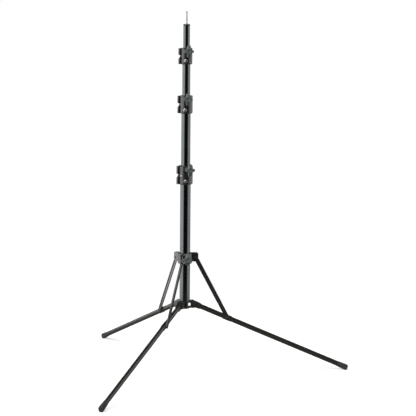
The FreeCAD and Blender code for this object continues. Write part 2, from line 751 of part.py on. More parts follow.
def make_leg(side, azimuth):
    place = leg_placement(azimuth)

    root = new_body(f"{side}_leg_root")
    eye = new_sketch(root, "eye", "XZ_Plane")
    circle(eye, 0, 0, "leg_root_eye")
    feature("Pad", root, "eye_pad", eye, "leg_root_width", Midplane=True)
    cheek = new_sketch(root, "cheek", "XZ_Plane")
    polygon(cheek, both_sides([
        (0, "leg_root_eye - tangent_relief"),
        ("leg_root_shoulder", "leg_root_eye - tangent_relief"),
        ("leg_tube_start - seat_gap", "leg_height / 2")]))
    feature("Pad", root, "cheek_pad", cheek, "leg_root_width", Midplane=True)
    plug = new_sketch(root, "plug", "YZ_Plane")
    leg_section(plug, "leg_wall + seat_gap")
    feature("Pad", root, "plug_pad", plug, "leg_tube_start + leg_root_plug")
    bore = new_sketch(root, "bore", "XZ_Plane")
    circle(bore, 0, 0, "leg_pin_radius + seat_gap")
    feature("Pocket", root, "bore_cut", bore, "2 * leg_root_width", Midplane=True)

    tube = new_body(f"{side}_leg_tube")
    wall = new_sketch(tube, "section", "YZ_Plane", shift="leg_tube_start")
    leg_section(wall, 0)
    leg_section(wall, "leg_wall")
    feature("Pad", tube, "wall", wall, "leg_tube_end - leg_tube_start")
    cut_strut_pin(tube)

    saddle = new_body(f"{side}_leg_saddle")
    band = new_sketch(saddle, "section", "YZ_Plane",
                      shift="strut_pivot_on_leg - saddle_half_length")
    leg_section(band, "-saddle_wall")
    leg_section(band, "-seat_gap")
    feature("Pad", saddle, "band", band, "2 * saddle_half_length")
    cut_strut_pin(saddle)

    foot = make_foot(side)
    for piece in (root, tube, saddle, foot):
        piece.Placement = place


def cut_strut_pin(body):
    bore = new_sketch(body, "strut_bore", "XZ_Plane")
    circle(bore, "strut_pivot_on_leg", 0, "leg_pin_radius + seat_gap")
    feature("Pocket", body, "strut_bore_cut", bore, "2 * leg_width", Midplane=True)


def make_foot(side):
    """Rubber boot on the leg's end, with a small facet that lies on the floor."""
    foot = new_body(f"{side}_leg_foot")
    outline = new_sketch(foot, "outline", "XZ_Plane")
    low = "foot_half_height"
    # Where the underside and the end face of the boot meet the floor.
    heel = f"(leg_pivot_height - {low} * cos(leg_slope)) / sin(leg_slope)"
    toe = "-(leg_pivot_height - foot_end * sin(leg_slope)) / cos(leg_slope)"
    neck = "leg_height / 2 + foot_neck"
    polygon(outline, [
        ("foot_start", neck), ("foot_start", f"-({neck})"),
        ("foot_start + foot_shoulder", f"-({low})"), (heel, f"-{low}"), ("foot_end", toe),
        ("foot_end", f"{low} - foot_round"), ("foot_end - foot_round", low),
        ("foot_start + foot_shoulder", low)])
    feature("Pad", foot, "boot", outline, "foot_width", Midplane=True)
    socket = new_sketch(foot, "socket", "YZ_Plane")
    leg_section(socket, "-seat_gap")
    feature("Pocket", foot, "socket_cut", socket, "leg_tube_end + seat_gap", Reversed=True)
    return foot


# ---------------------------------------------------------------- struts

def strut_ends():
    """Lower and upper pivot of a strut as (radius, height), and the strut's length and tilt."""
    slope = math.radians(value("leg_slope"))
    along = value("strut_pivot_on_leg")
    low = (value("leg_pivot_radius") + along * math.cos(slope),
           value("leg_pivot_height") - along * math.sin(slope))
    high = (value("strut_top_radius"), value("strut_top_height"))
    run, rise = high[0] - low[0], high[1] - low[1]
    return low, high, math.hypot(run, rise), math.degrees(math.atan2(rise, run))


def make_strut(side, azimuth):
    """Pressed channel bar drawn along +X from its lower pivot, with the rivets that it carries."""
    low, high, length, tilt = strut_ends()
    turn = Rotation(Vector(0, 0, 1), azimuth)
    lean = Rotation(Vector(0, 1, 0), -tilt)
    place = Placement(turn.multVec(Vector(low[0], 0, low[1])), turn.multiply(lean))

    bar = new_body(f"{side}_strut_bar")
    outline = new_sketch(bar, "outline", "XZ_Plane", shift="-strut_inner")
    obround(outline, 0, length, "strut_width / 2")
    feature("Pad", bar, "plate", outline, "strut_outer - strut_inner", Reversed=True)
    groove = new_sketch(bar, "groove", "XZ_Plane", shift="-strut_outer")
    start, end = "strut_boss", f"{length} - strut_boss"
    rectangle(groove, start, end, "-strut_width / 2 + strut_flange", "strut_width / 2 - strut_flange")
    feature("Pocket", bar, "groove_cut", groove, "strut_outer - strut_inner - strut_web", Reversed=True)
    for name, place_on_bar in (("low", 0), ("high", length)):
        bore = new_sketch(bar, f"{name}_bore", "XZ_Plane", shift="-strut_inner")
        circle(bore, place_on_bar, 0, "leg_pin_radius")
        feature("Pocket", bar, f"{name}_bore_cut", bore, "2 * strut_outer", Midplane=True)
    bar.Placement = place

    near = -value("leg_width / 2 + saddle_wall")
    pin = pin_along_y(value("leg_pin_radius"), value("strut_outer"), value("leg_pin_head"),
                      value("strut_pin_head_height"), low=near - value("body_gap"))
    plug = Part.makeCylinder(value("leg_pin_radius"), value("strut_outer - strut_inner"),
                             Vector(length, value("strut_inner"), 0), Vector(0, 1, 0))
    rivets = grouped(f"{side}_strut_rivets", [pin, plug])
    rivets.Placement = place


# ---------------------------------------------------------------- leg collar

def make_leg_collar():
    """Sliding collar that the struts hang from, with its liner, clamp and lug rivets."""
    outer = "column_radius + collar_wall"
    height = "leg_collar_height"
    level = "leg_collar_boss_height"
    turn = "leg_collar_azimuth"
    body = new_body("leg_collar_body")
    revolved("Revolution", body, "ring", [
        (0, 0), (f"{outer} - collar_top_chamfer", 0), (outer, "collar_top_chamfer"),
        (outer, f"{height} - collar_top_chamfer"), (f"{outer} - collar_top_chamfer", height),
        (0, height)])
    add_lugs(body)
    add_boss(body, outer, level, turn)
    cut_lugs(body)
    liner = "column_radius + running_gap + leg_collar_liner"
    throat = f"{liner} + seat_gap"
    revolved("Groove", body, "throat", [
        (0, "-overcut"), (throat, "-overcut"), (throat, f"{height} + overcut"),
        (0, f"{height} + overcut")])
    cut_clamp(body, "column_radius", outer, level, turn)
    body.Placement = turn_and_lift(0, value("leg_collar_bottom"))

    bush = new_body("leg_collar_bush")
    revolved("Revolution", bush, "sleeve", [
        ("column_radius + running_gap", 0), (liner, 0), (liner, height),
        ("column_radius + running_gap", height)])
    cut_pad_window(bush, level, "column_radius + 2 * leg_collar_liner", turn)
    bush.Placement = body.Placement

    make_lug_rivets()
    make_clamp("leg_collar", "column_radius", outer, level, turn, "leg_collar_bottom")


def add_lugs(body):
    """Three lugs, each beside a leg's plane, where the struts are pinned."""
    lug = new_sketch(body, "lug", "XZ_Plane", shift="-lug_inner")
    polygon(lug, [
        ("column_radius + lug_root", "lug_low"), ("lug_end - lug_corner", "lug_low"),
        ("lug_end", "lug_low + lug_corner"), ("lug_end", "lug_high - lug_corner"),
        ("lug_end - lug_corner", "lug_high"), ("column_radius + lug_root", "lug_high")])
    lugs = feature("Pad", body, "lug_pad", lug, "lug_outer - lug_inner", Reversed=True)
    repeated(body, "lugs", [lugs], len(LEGS))


def cut_lugs(body):
    """Strut slots and rivet bores, and the spot face that clears the boss of the front rivet head."""
    slot = new_sketch(body, "lug_slot", "XZ_Plane", shift="-lug_slot_inner")
    rectangle(slot, "lug_slot_root", "lug_end + overcut", "lug_low - overcut", "lug_high + overcut")
    slots = feature("Pocket", body, "slot_cut", slot, "lug_slot_outer - lug_slot_inner")
    repeated(body, "slots", [slots], len(LEGS))
    rivet_level = "strut_top_height - leg_collar_bottom"
    bore = new_sketch(body, "lug_bore", "XZ_Plane")
    circle(bore, "strut_top_radius", rivet_level, "leg_pin_radius")
    bores = feature("Pocket", body, "bore_cut", bore, "lug_outer + overcut")
    repeated(body, "bores", [bores], len(LEGS))
    face = new_sketch(body, "spot_face", "XZ_Plane", LEGS["front"], "-lug_outer")
    circle(face, "strut_top_radius", rivet_level, "lug_pin_head + body_gap")
    feature("Pocket", body, "spot_face_cut", face, "lug_pin_head_height + body_gap")


def make_lug_rivets():
    """Headed stub in each cheek of each lug, on the axis of the strut's upper pivot."""
    radius = value("leg_pin_radius")
    head = value("lug_pin_head")
    rise = value("lug_pin_head_height")
    stubs = []
    for cheek, slot, out in (("lug_inner", "lug_slot_inner", -1), ("lug_outer", "lug_slot_outer", 1)):
        face = value(cheek)
        axis = Vector(0, out, 0)
        shank = Part.makeCylinder(radius, abs(value(slot) - face), Vector(0, face, 0), -axis)
        crown = head - value("rivet_head_taper")
        cap = Part.makeCone(head, crown, rise, Vector(0, face, 0), axis)
        stub = shank.fuse(cap).removeSplitter()
        stub.translate(Vector(value("strut_top_radius"), 0, value("strut_top_height")))
        stubs.append(stub)
    grouped("leg_collar_rivets", [turned(stub, azimuth) for azimuth in LEGS.values() for stub in stubs])


# ---------------------------------------------------------------- top fitting

def make_top():
    """Cap on the top tube, with the bright spigot that a lamp head fits on and its nut."""
    tube_top = "upper_riser_top"
    seat = f"{tube_top} + cap_flange_height"
    plug = "upper_riser_radius - tube_wall - seat_gap"
    tail = "spigot_tail_radius + seat_gap"
    cap = new_body("top_cap")
    revolved("Revolution", cap, "cap", [
        (tail, f"{tube_top} - cap_plug_length"), (plug, f"{tube_top} - cap_plug_length"),
        (plug, tube_top), ("cap_flange_radius", tube_top), ("cap_flange_radius", f"{seat} - cap_chamfer"),
        ("cap_flange_radius - cap_chamfer", seat), (tail, seat)])

    spigot = new_body("spigot_pin")
    shoulder = f"{seat} + spigot_shoulder_height"
    revolved("Revolution", spigot, "pin", [
        (0, f"{seat} - spigot_tail_length"), ("spigot_tail_radius", f"{seat} - spigot_tail_length"),
        ("spigot_tail_radius", seat), ("spigot_shoulder_radius", seat),
        ("spigot_shoulder_radius", f"{shoulder} - spigot_shoulder_chamfer"),
        ("spigot_shoulder_radius - spigot_shoulder_chamfer", shoulder),
        ("spigot_radius", shoulder), ("spigot_radius", "spigot_top - spigot_chamfer"),
        ("spigot_radius - spigot_chamfer", "spigot_top"), (0, "spigot_top")])

    nut = new_body("spigot_nut")
    face = new_sketch(nut, "face", "XY_Plane",
                      shift=f"{tube_top} - cap_plug_length - seat_gap - nut_height")
    corner = "nut_flats / 2 / cos(30)"
    polygon(face, [(f"({corner}) * cos({angle})", f"({corner}) * sin({angle})")
                   for angle in range(0, 360, 60)])
    circle(face, 0, 0, tail)
    feature("Pad", nut, "hexagon", face, "nut_height")


# ---------------------------------------------------------------- build and write

def check_document():
    """Stop if any object failed, or if a sub-part has no valid shape."""
    for item in doc.Objects:
        if "Invalid" in item.State or "Error" in item.State:
            raise RuntimeError(f"{item.Label} did not build: {item.State}")
    for part in parts:
        if part.Shape.isNull() or not part.Shape.isValid():
            raise RuntimeError(f"{part.Label} has no valid shape")


make_tubes()
make_glides()
for collar_name, (holder_radius, riser_radius) in COLLARS.items():
    make_lock_collar(collar_name, holder_radius, riser_radius)
make_hub()
make_hub_pins()
for side_name, side_azimuth in LEGS.items():
    make_leg(side_name, side_azimuth)
    make_strut(side_name, side_azimuth)
make_leg_collar()
make_top()

doc.recompute()
check_document()
os.makedirs("parts", exist_ok=True)
for part in parts:
    part.Shape.exportStep(f"parts/{part.Label}.step")
    print(f"{part.Label}: {len(part.Shape.Solids)} solid(s), {part.Shape.Volume:.1f} mm3")
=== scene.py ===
import json
import math

import bmesh
import bpy
from mathutils import Matrix, Quaternion, Vector

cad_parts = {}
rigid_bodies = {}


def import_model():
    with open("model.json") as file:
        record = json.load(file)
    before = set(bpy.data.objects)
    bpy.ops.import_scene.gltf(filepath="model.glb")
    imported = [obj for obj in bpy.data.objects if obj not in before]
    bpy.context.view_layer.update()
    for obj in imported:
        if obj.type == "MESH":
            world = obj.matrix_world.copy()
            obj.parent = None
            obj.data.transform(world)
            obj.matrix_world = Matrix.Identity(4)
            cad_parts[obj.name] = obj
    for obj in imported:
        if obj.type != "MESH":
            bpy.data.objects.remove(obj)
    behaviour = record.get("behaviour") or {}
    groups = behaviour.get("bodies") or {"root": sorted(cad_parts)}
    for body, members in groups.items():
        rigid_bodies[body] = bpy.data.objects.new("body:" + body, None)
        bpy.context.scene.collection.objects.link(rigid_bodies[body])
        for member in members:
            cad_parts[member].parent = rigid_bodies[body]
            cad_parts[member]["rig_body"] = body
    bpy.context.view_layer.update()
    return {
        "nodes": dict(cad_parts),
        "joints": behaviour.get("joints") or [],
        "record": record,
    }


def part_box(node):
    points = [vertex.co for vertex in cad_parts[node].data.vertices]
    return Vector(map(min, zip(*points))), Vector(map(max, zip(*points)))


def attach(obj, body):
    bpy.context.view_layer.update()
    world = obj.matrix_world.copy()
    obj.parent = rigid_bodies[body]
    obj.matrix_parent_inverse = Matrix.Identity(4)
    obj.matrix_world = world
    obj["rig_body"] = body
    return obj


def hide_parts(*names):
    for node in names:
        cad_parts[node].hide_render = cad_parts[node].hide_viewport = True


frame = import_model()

MM = 0.001
UP = Vector((0, 0, 1))
LEGS = ("right", "rear", "front")
CLAMPS = {"lower": "lower_collar", "middle": "middle_collar", "upper": "upper_collar", "leg": "leg_collar"}
LOCK_COLLARS = ("lower_collar", "middle_collar", "upper_collar")
TUBES = ("column_tube", "lower_riser_tube", "middle_riser_tube", "upper_riser_tube")
SLOT_OF = {row["node"]: row["material_slot"] for row in frame["record"]["subparts"]}
JOINTS = {joint["name"]: joint for joint in frame["joints"]}
MOUNTS = {mount["name"]: mount for mount in frame["record"]["mounts"]}
HOOK_MOUNTS = {f"{collar}_body": collar.replace("collar", "stacking_hook") for collar in LOCK_COLLARS}

SMALL = 0.1 * MM
WELD = 0.002 * MM
FLAT = math.radians(0.5)
SHARP = math.radians(28)

# The stacking hooks' noses; edges shorter than the last belong to the mouth.
HOOK_HALF_WIDTH = 6.5 * MM
HOOK_NOSE = 4.5 * MM
HOOK_SHORTEST = 4 * MM


# ---------------------------------------------------------------- node materials

class Graph:
    """Node material whose patterns are placed by object coordinates, in metres."""

    def __init__(self, name):
        self.material = bpy.data.materials.new(name)
        self.material.use_nodes = True
        self.tree = self.material.node_tree
        self.shader = self.tree.nodes["Principled BSDF"]
        self.place = self.add("ShaderNodeTexCoord").outputs["Object"]

    def add(self, kind, **settings):
        node = self.tree.nodes.new(kind)
        for key, setting in settings.items():
            setattr(node, key, setting)
        return node

    def feed(self, socket, source):
        if isinstance(source, bpy.types.NodeSocket):
            self.tree.links.new(source, socket)
        else:
            socket.default_value = source

    def mapped(self, place, turn=(0, 0, 0), scale=(1, 1, 1)):
        node = self.add("ShaderNodeMapping")
        self.feed(node.inputs["Vector"], place)
        node.inputs["Rotation"].default_value = turn
        node.inputs["Scale"].default_value = scale
        return node.outputs["Vector"]

    def along(self, direction, stretch):
        """Coordinates whose X runs along a direction and is squeezed, so that patterns stretch."""
        turn = Vector(direction).rotation_difference(Vector((1, 0, 0))).to_euler()
        return self.mapped(self.mapped(self.place, turn=turn), scale=(1 / stretch, 1, 1))

    def noise(self, size, detail=3.0, place=None):
        """Fractal noise whose largest features are about size metres across."""
        node = self.add("ShaderNodeTexNoise")
        self.feed(node.inputs["Vector"], self.place if place is None else place)
        node.inputs["Scale"].default_value = 1 / size
        node.inputs["Detail"].default_value = detail
        return node.outputs["Fac"]

    def remap(self, source, low, high, to_low=0.0, to_high=1.0):
        node = self.add("ShaderNodeMapRange")
        self.feed(node.inputs["Value"], source)
        for key, number in zip(("From Min", "From Max", "To Min", "To Max"), (low, high, to_low, to_high)):
            node.inputs[key].default_value = number
        return node.outputs["Result"]

    def combine(self, operation, one, two):
        node = self.add("ShaderNodeMath", operation=operation)
        self.feed(node.inputs[0], one)
        self.feed(node.inputs[1], two)
        return node.outputs[0]

    def blend(self, amount, one, two):
        """Colour one where amount is 0 and colour two where it is 1."""
        node = self.add("ShaderNodeMix", data_type="RGBA")
        self.feed(node.inputs["Factor"], amount)
        for socket, colour in ((node.inputs[6], one), (node.inputs[7], two)):
            self.feed(socket, colour if isinstance(colour, bpy.types.NodeSocket) else (*colour, 1.0))
        return node.outputs[2]

    def edges(self, reach, patch):
        """1 on convex and concave edges where a noise patch lets the wear through, else 0."""
        soft = self.add("ShaderNodeBevel", samples=6)
        soft.inputs["Radius"].default_value = reach
        facing = self.add("ShaderNodeNewGeometry").outputs["Normal"]
        match = self.add("ShaderNodeVectorMath", operation="DOT_PRODUCT")
        self.feed(match.inputs[0], soft.outputs["Normal"])
        self.feed(match.inputs[1], facing)
        edge = self.remap(match.outputs["Value"], 0.995, 0.90)
        return self.combine("MULTIPLY", edge, self.remap(self.noise(patch), 0.42, 0.62))

    def bump(self, height, depth):
        node = self.add("ShaderNodeBump")
        self.feed(node.inputs["Height"], height)
        node.inputs["Distance"].default_value = depth
        node.inputs["Strength"].default_value = 1.0
        self.feed(self.shader.inputs["Normal"], node.outputs["Normal"])

    def colour(self, source):
        self.feed(self.shader.inputs["Base Color"], source)

    def rough(self, source):
        self.feed(self.shader.inputs["Roughness"], source)

    def constant(self, **numbers):
        for key, number in numbers.items():
            self.shader.inputs[key.replace("_", " ")].default_value = number


def shade(colour, factor):
    return tuple(channel * factor for channel in colour)


def anodised_tube():
    """Glossy black anodised aluminium with draw lines and light scuffs along the tube."""
    graph = Graph("black_anodised_tube")
    base = (0.098, 0.108, 0.110)
    lines = graph.noise(0.35 * MM, 2.0, graph.along(UP, 160))
    cloud = graph.noise(60 * MM, 4.0)
    scuff = graph.remap(graph.noise(1.1 * MM, 3.0, graph.along(UP, 45)), 0.66, 0.74)
    tone = graph.blend(cloud, shade(base, 0.82), shade(base, 1.18))
    graph.colour(graph.blend(graph.combine("MULTIPLY", scuff, 0.4), tone, (0.16, 0.165, 0.165)))
    sheen = graph.remap(lines, 0.3, 0.7, 0.13, 0.22)
    graph.rough(graph.combine("ADD", sheen, graph.combine("MULTIPLY", scuff, 0.16)))
    graph.bump(lines, 0.003 * MM)
    graph.constant(Metallic=1.0)
    return graph.material


def powder_coat():
    """Satin black powder coat with orange peel and edges rubbed paler."""
    graph = Graph("black_casting")
    base = (0.016, 0.0165, 0.0155)
    peel = graph.noise(0.9 * MM, 2.0)
    cloud = graph.noise(14 * MM, 4.0)
    worn = graph.edges(0.8 * MM, 5 * MM)
    tone = graph.blend(cloud, shade(base, 0.75), shade(base, 1.3))
    graph.colour(graph.blend(graph.combine("MULTIPLY", worn, 0.7), tone, (0.085, 0.085, 0.08)))
    graph.rough(graph.remap(graph.noise(2.5 * MM), 0.3, 0.7, 0.24, 0.34))
    graph.bump(peel, 0.015 * MM)
    graph.constant(Coat_Weight=0.5, Coat_Roughness=0.14, Specular_IOR_Level=0.45)
    return graph.material


def knob_plastic():
    """Dark grey glass-filled plastic with a spark-eroded grain, polished where fingers grip."""
    graph = Graph("grey_knob")
    base = (0.088, 0.097, 0.100)
    grain = graph.noise(0.35 * MM, 2.0)
    flow = graph.noise(9 * MM, 3.0)
    worn = graph.edges(1.2 * MM, 4 * MM)
    tone = graph.blend(flow, shade(base, 0.85), shade(base, 1.15))
    graph.colour(graph.blend(graph.combine("MULTIPLY", worn, 0.6), tone, (0.15, 0.16, 0.165)))
    graph.rough(graph.combine("SUBTRACT", graph.remap(grain, 0.3, 0.7, 0.42, 0.56),
                              graph.combine("MULTIPLY", worn, 0.14)))
    graph.bump(grain, 0.02 * MM)
    return graph.material


def painted_metal(name, direction, base, rubbed):
    """Satin paint over metal, with faint scratches along the piece and rubbed edges."""
    graph = Graph(name)
    peel = graph.noise(0.7 * MM, 2.0)
    cloud = graph.noise(35 * MM, 4.0)
    lines = graph.remap(graph.noise(0.8 * MM, 2.0, graph.along(direction, 60)), 0.68, 0.76)
    worn = graph.combine("MAXIMUM", graph.edges(0.9 * MM, 7 * MM), graph.combine("MULTIPLY", lines, 0.45))
    tone = graph.blend(cloud, shade(base, 0.8), shade(base, 1.22))
    graph.colour(graph.blend(worn, tone, rubbed))
    graph.rough(graph.remap(graph.noise(3 * MM), 0.3, 0.7, 0.24, 0.34))
    graph.bump(peel, 0.012 * MM)
    graph.constant(Coat_Weight=0.4, Coat_Roughness=0.18)
    return graph.material


def foot_rubber():
    """Matt rubber boot, dusty towards the floor and scuffed on its edges."""
    graph = Graph("foot_rubber")
    base = (0.030, 0.031, 0.029)
    pores = graph.noise(0.5 * MM, 3.0)
    height = graph.add("ShaderNodeSeparateXYZ")
    graph.feed(height.inputs["Vector"], graph.place)
    low = graph.remap(height.outputs["Z"], 12 * MM, 1 * MM)
    dust = graph.combine("MULTIPLY", low, graph.remap(graph.noise(3 * MM, 4.0), 0.4, 0.7, 0.1, 0.7))
    scuff = graph.combine("MAXIMUM", dust, graph.combine("MULTIPLY", graph.edges(1.5 * MM, 4 * MM), 0.6))
    graph.colour(graph.blend(scuff, base, (0.14, 0.135, 0.125)))
    graph.rough(graph.remap(pores, 0.3, 0.7, 0.68, 0.84))
    graph.bump(pores, 0.05 * MM)
    return graph.material


def bare_metal(name, base, dull, roughness, stretch=25):
    """Machined metal with fine tool marks, duller in patches."""
    graph = Graph(name)
    marks = graph.noise(0.18 * MM, 2.0, graph.along(UP, stretch))
    patch = graph.remap(graph.noise(2.2 * MM, 4.0), 0.45, 0.68)
    graph.colour(graph.blend(patch, base, dull))
    low, high = roughness
    graph.rough(graph.combine("ADD", graph.remap(marks, 0.3, 0.7, low, high),
                              graph.combine("MULTIPLY", patch, 0.08)))
    graph.bump(marks, 0.006 * MM)
    graph.constant(Metallic=1.0)
    return graph.material


def nylon():
    """Black bearing nylon, slightly waxy, with fine moulding texture."""
    graph = Graph("nylon")
    grain = graph.noise(0.4 * MM, 2.0)
    cloud = graph.noise(6 * MM, 3.0)
    graph.colour(graph.blend(cloud, (0.020, 0.020, 0.021), (0.036, 0.036, 0.037)))
    graph.rough(graph.remap(grain, 0.3, 0.7, 0.38, 0.52))
    graph.bump(grain, 0.012 * MM)
    return graph.material


def joint_point(name):
    return Vector(JOINTS[name]["pos_m"])


def leg_direction(side):
    """Along the leg, from its pivot on the hub towards its foot."""
    return (joint_point(f"{side}_strut_swing") - joint_point(f"{side}_leg_fold")).normalized()


def strut_direction(side):
    """Along the strut, from its pivot on the leg up to the leg collar."""
    low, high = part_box("leg_collar_rivets")
    knee = joint_point(f"{side}_strut_swing")
    outward = Vector((knee.x, knee.y, 0)).normalized()
    reach = max(vertex.co.to_2d().length for vertex in frame["nodes"]["leg_collar_rivets"].data.vertices)
    top = outward * reach + UP * (low.z + high.z) / 2
    return (top - knee).normalized()


LEG_PAINT = {side: painted_metal(f"leg_paint_{side}", leg_direction(side), (0.018, 0.018, 0.013),
                                 (0.075, 0.072, 0.058)) for side in LEGS}
STRUT_PAINT = {side: painted_metal(f"strut_paint_{side}", strut_direction(side), (0.019, 0.019, 0.016),
                                   (0.08, 0.078, 0.07)) for side in LEGS}
FINISH = {
    "black_anodised_tube": anodised_tube(),
    "black_casting": powder_coat(),
    "grey_knob": knob_plastic(),
    "foot_rubber": foot_rubber(),
    "bright_screw": bare_metal("bright_screw", (0.36, 0.39, 0.40), (0.27, 0.29, 0.30), (0.30, 0.40)),
    "dark_rivet": bare_metal("dark_rivet", (0.10, 0.10, 0.10), (0.045, 0.042, 0.04), (0.32, 0.45)),
    "spigot_steel": bare_metal("spigot_steel", (0.62, 0.62, 0.60), (0.46, 0.45, 0.43), (0.20, 0.30),
                               stretch=0.05),
    "brass_insert": bare_metal("brass_insert", (0.72, 0.55, 0.27), (0.45, 0.33, 0.17), (0.22, 0.34)),
    "nylon": nylon(),
}


def material_for(node):
    """Material of a CAD node's slot; paint follows the direction of its own leg or strut."""
    name = SLOT_OF[node]
    if name == "leg_paint":
        return LEG_PAINT[node.split("_")[0]]
    if name == "strut_paint":
        return STRUT_PAINT[node.split("_")[0]]
    return FINISH[name]


# ---------------------------------------------------------------- mesh helpers

def new_piece(name, mesh, node):
    """Object made from a bmesh that takes a CAD node's place, body, slot and material."""
    data = bpy.data.meshes.new(name)
    bmesh.ops.recalc_face_normals(mesh, faces=mesh.faces)
    mesh.to_mesh(data)
    mesh.free()
    for face in data.polygons:
        face.use_smooth = True
    piece = bpy.data.objects.new(name, data)
    bpy.context.scene.collection.objects.link(piece)
    data.materials.append(material_for(node))
    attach(piece, frame["nodes"][node]["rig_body"])
    return piece


def settled(piece):
    """Applies a piece's modifiers to its mesh."""
    graph = bpy.context.evaluated_depsgraph_get()
    made = bpy.data.meshes.new_from_object(piece.evaluated_get(graph))
    old = piece.data
    piece.modifiers.clear()
    piece.data = made
    bpy.data.meshes.remove(old)
    return piece


def round_edges(piece, width, segments=3):
    bevel = piece.modifiers.new("edges", "BEVEL")
    bevel.width = width
    bevel.segments = segments
    bevel.limit_method = "ANGLE"
    bevel.angle_limit = SHARP
    bevel.miter_outer = "MITER_ARC"
    normals = piece.modifiers.new("normals", "WEIGHTED_NORMAL")
    normals.keep_sharp = True
    return settled(piece)


def welded(node):
    """Mesh of a CAD node with split corners joined and flat faces made whole."""
    mesh = bmesh.new()
    mesh.from_mesh(frame["nodes"][node].data)
    bmesh.ops.remove_doubles(mesh, verts=mesh.verts[:], dist=WELD)
    bmesh.ops.dissolve_limit(mesh, angle_limit=FLAT, verts=mesh.verts[:], edges=mesh.edges[:])
    return mesh


def round_hook(mesh, mount):
    """Gives the upright outer corners of a collar's stacking hook a full nose."""
    heading = Vector((*MOUNTS[mount]["pos_m"][:2], 0)).normalized()
    side = UP.cross(heading)
    near = [vertex for vertex in mesh.verts if abs(vertex.co.dot(side)) < HOOK_HALF_WIDTH + SMALL
            and vertex.co.dot(heading) > 0]
    tip = max(vertex.co.dot(heading) for vertex in near)
    nose = {vertex for vertex in near if vertex.co.dot(heading) > tip - SMALL}
    upright = [edge for edge in mesh.edges if set(edge.verts) <= nose
               and abs(edge.verts[0].co.z - edge.verts[1].co.z) > HOOK_SHORTEST
               and (edge.verts[0].co - edge.verts[1].co).to_2d().length < SMALL]
    bmesh.ops.bevel(mesh, geom=upright, offset=HOOK_NOSE, segments=6, profile=0.5, affect="EDGES")


def rounded(node, width):
    """Copy of a CAD node with rounded edges, shown in its place."""
    mesh = welded(node)
    if node in HOOK_MOUNTS:
        round_hook(mesh, HOOK_MOUNTS[node])
    piece = new_piece(f"{node}_finished", mesh, node)
    round_edges(piece, width)
    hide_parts(node)
    return piece


def grid_faces(mesh, rings):
    """Quads between neighbouring closed rings of vertices."""
    for low, high in zip(rings, rings[1:]):
        count = len(low)
        for index in range(count):
            after = (index + 1) % count
            mesh.faces.new((low[index], low[after], high[after], high[index]))


def lofted(outlines, place):
    """Closed mesh through rings of points given in a local frame, with both ends capped."""
    mesh = bmesh.new()
    rings = [[mesh.verts.new(place @ Vector(point)) for point in outline] for outline in outlines]
    grid_faces(mesh, rings)
    mesh.faces.new(rings[0])
    mesh.faces.new(rings[-1])
    return mesh


def turned_ring(radius, height, count):
    """Circle of points about the local Z axis."""
    step = math.tau / count
    return [(radius * math.cos(step * i), radius * math.sin(step * i), height) for i in range(count)]


def round_ring(along, radius, count):
    """Circle of points about the local X axis."""
    step = math.tau / count
    return [(along, radius * math.cos(step * i), radius * math.sin(step * i)) for i in range(count)]


def frame_on(origin, forward, side):
    """Local frame at origin with X along forward and Y as near side as it can be."""
    ahead = Vector(forward).normalized()
    across = (Vector(side) - ahead * ahead.dot(side)).normalized()
    above = ahead.cross(across)
    return Matrix.Translation(origin) @ Matrix((ahead, across, above)).transposed().to_4x4()


def extent(node, place):
    """Lowest and highest corner of a CAD node, measured in a local frame."""
    back = place.inverted()
    points = [back @ vertex.co for vertex in frame["nodes"][node].data.vertices]
    low = Vector(min(point[axis] for point in points) for axis in range(3))
    high = Vector(max(point[axis] for point in points) for axis in range(3))
    return low, high


# ---------------------------------------------------------------- tubes

TUBE_SEGMENTS = 128
TUBE_END_ROUND = 0.3 * MM
TUBE_END_HOLD = 0.9 * MM
TUBE_END_SHARE = 0.3


def make_tube(node):
    """Drawn tube with softly rounded ends, as wide and long as its CAD node."""
    low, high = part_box(node)
    spread = [vertex.co.to_2d().length for vertex in frame["nodes"][node].data.vertices]
    outer = max(spread)
    inner = min(spread)
    soft = TUBE_END_ROUND
    # A second ring near each end keeps the long walls' shading straight.
    hold = TUBE_END_HOLD
    bulge = soft * TUBE_END_SHARE
    profile = [
        (outer, low.z + soft), (outer, low.z + hold), (outer, high.z - hold), (outer, high.z - soft),
        (outer - bulge, high.z - bulge), (outer - soft, high.z), (inner + soft, high.z),
        (inner, high.z - soft), (inner, high.z - hold), (inner, low.z + hold), (inner, low.z + soft),
        (inner + soft, low.z), (outer - soft, low.z), (outer - bulge, low.z + bulge)]
    mesh = bmesh.new()
    rings = [[mesh.verts.new(point) for point in turned_ring(radius, height, TUBE_SEGMENTS)]
             for radius, height in profile]
    grid_faces(mesh, rings + rings[:1])
    piece = new_piece(f"{node}_drawn", mesh, node)
    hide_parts(node)


# ---------------------------------------------------------------- knobs

KNOB_SPOKES = 192
KNOB_STEP = 0.35 * MM
KNOB_BLEND = 4.5 * MM
KNOB_SOFT = 0.88 * MM
KNOB_SAMPLES = 7
KNOB_STEM_RADIUS = 4.6 * MM
KNOB_TIP_SCALES = (0.975, 0.90)
# (distance along the knob's axis, reach from it) of the core, the long wings and the cross wings
KNOB_CORE = [(0, 8.5), (6.0, 7.5), (8.5, 9.8), (16.5, 9.6), (19.0, 8.2)]
KNOB_WING = [(5.8, 6.0), (7.0, 15.0), (8.3, 18.6), (11.8, 18.6), (14.2, 15.8), (18.4, 6.0)]
KNOB_CROSS = [(9.5, 5.0), (11.6, 12.8), (13.0, 14.2), (17.6, 14.2), (19.0, 12.6)]
WING_HALF = 5.5 * MM
CROSS_HALF = 4.2 * MM
KNOB_DISH_RADIUS = 5.2 * MM
KNOB_DISH_DEPTH = 0.7 * MM
KNOB_DISH_RIM = 0.4 * MM
KNOB_DISH_LIP = 0.15 * MM
KNOB_DISH_SLOPE = 0.2 * MM
KNOB_DISH_FLOOR = 2 * MM


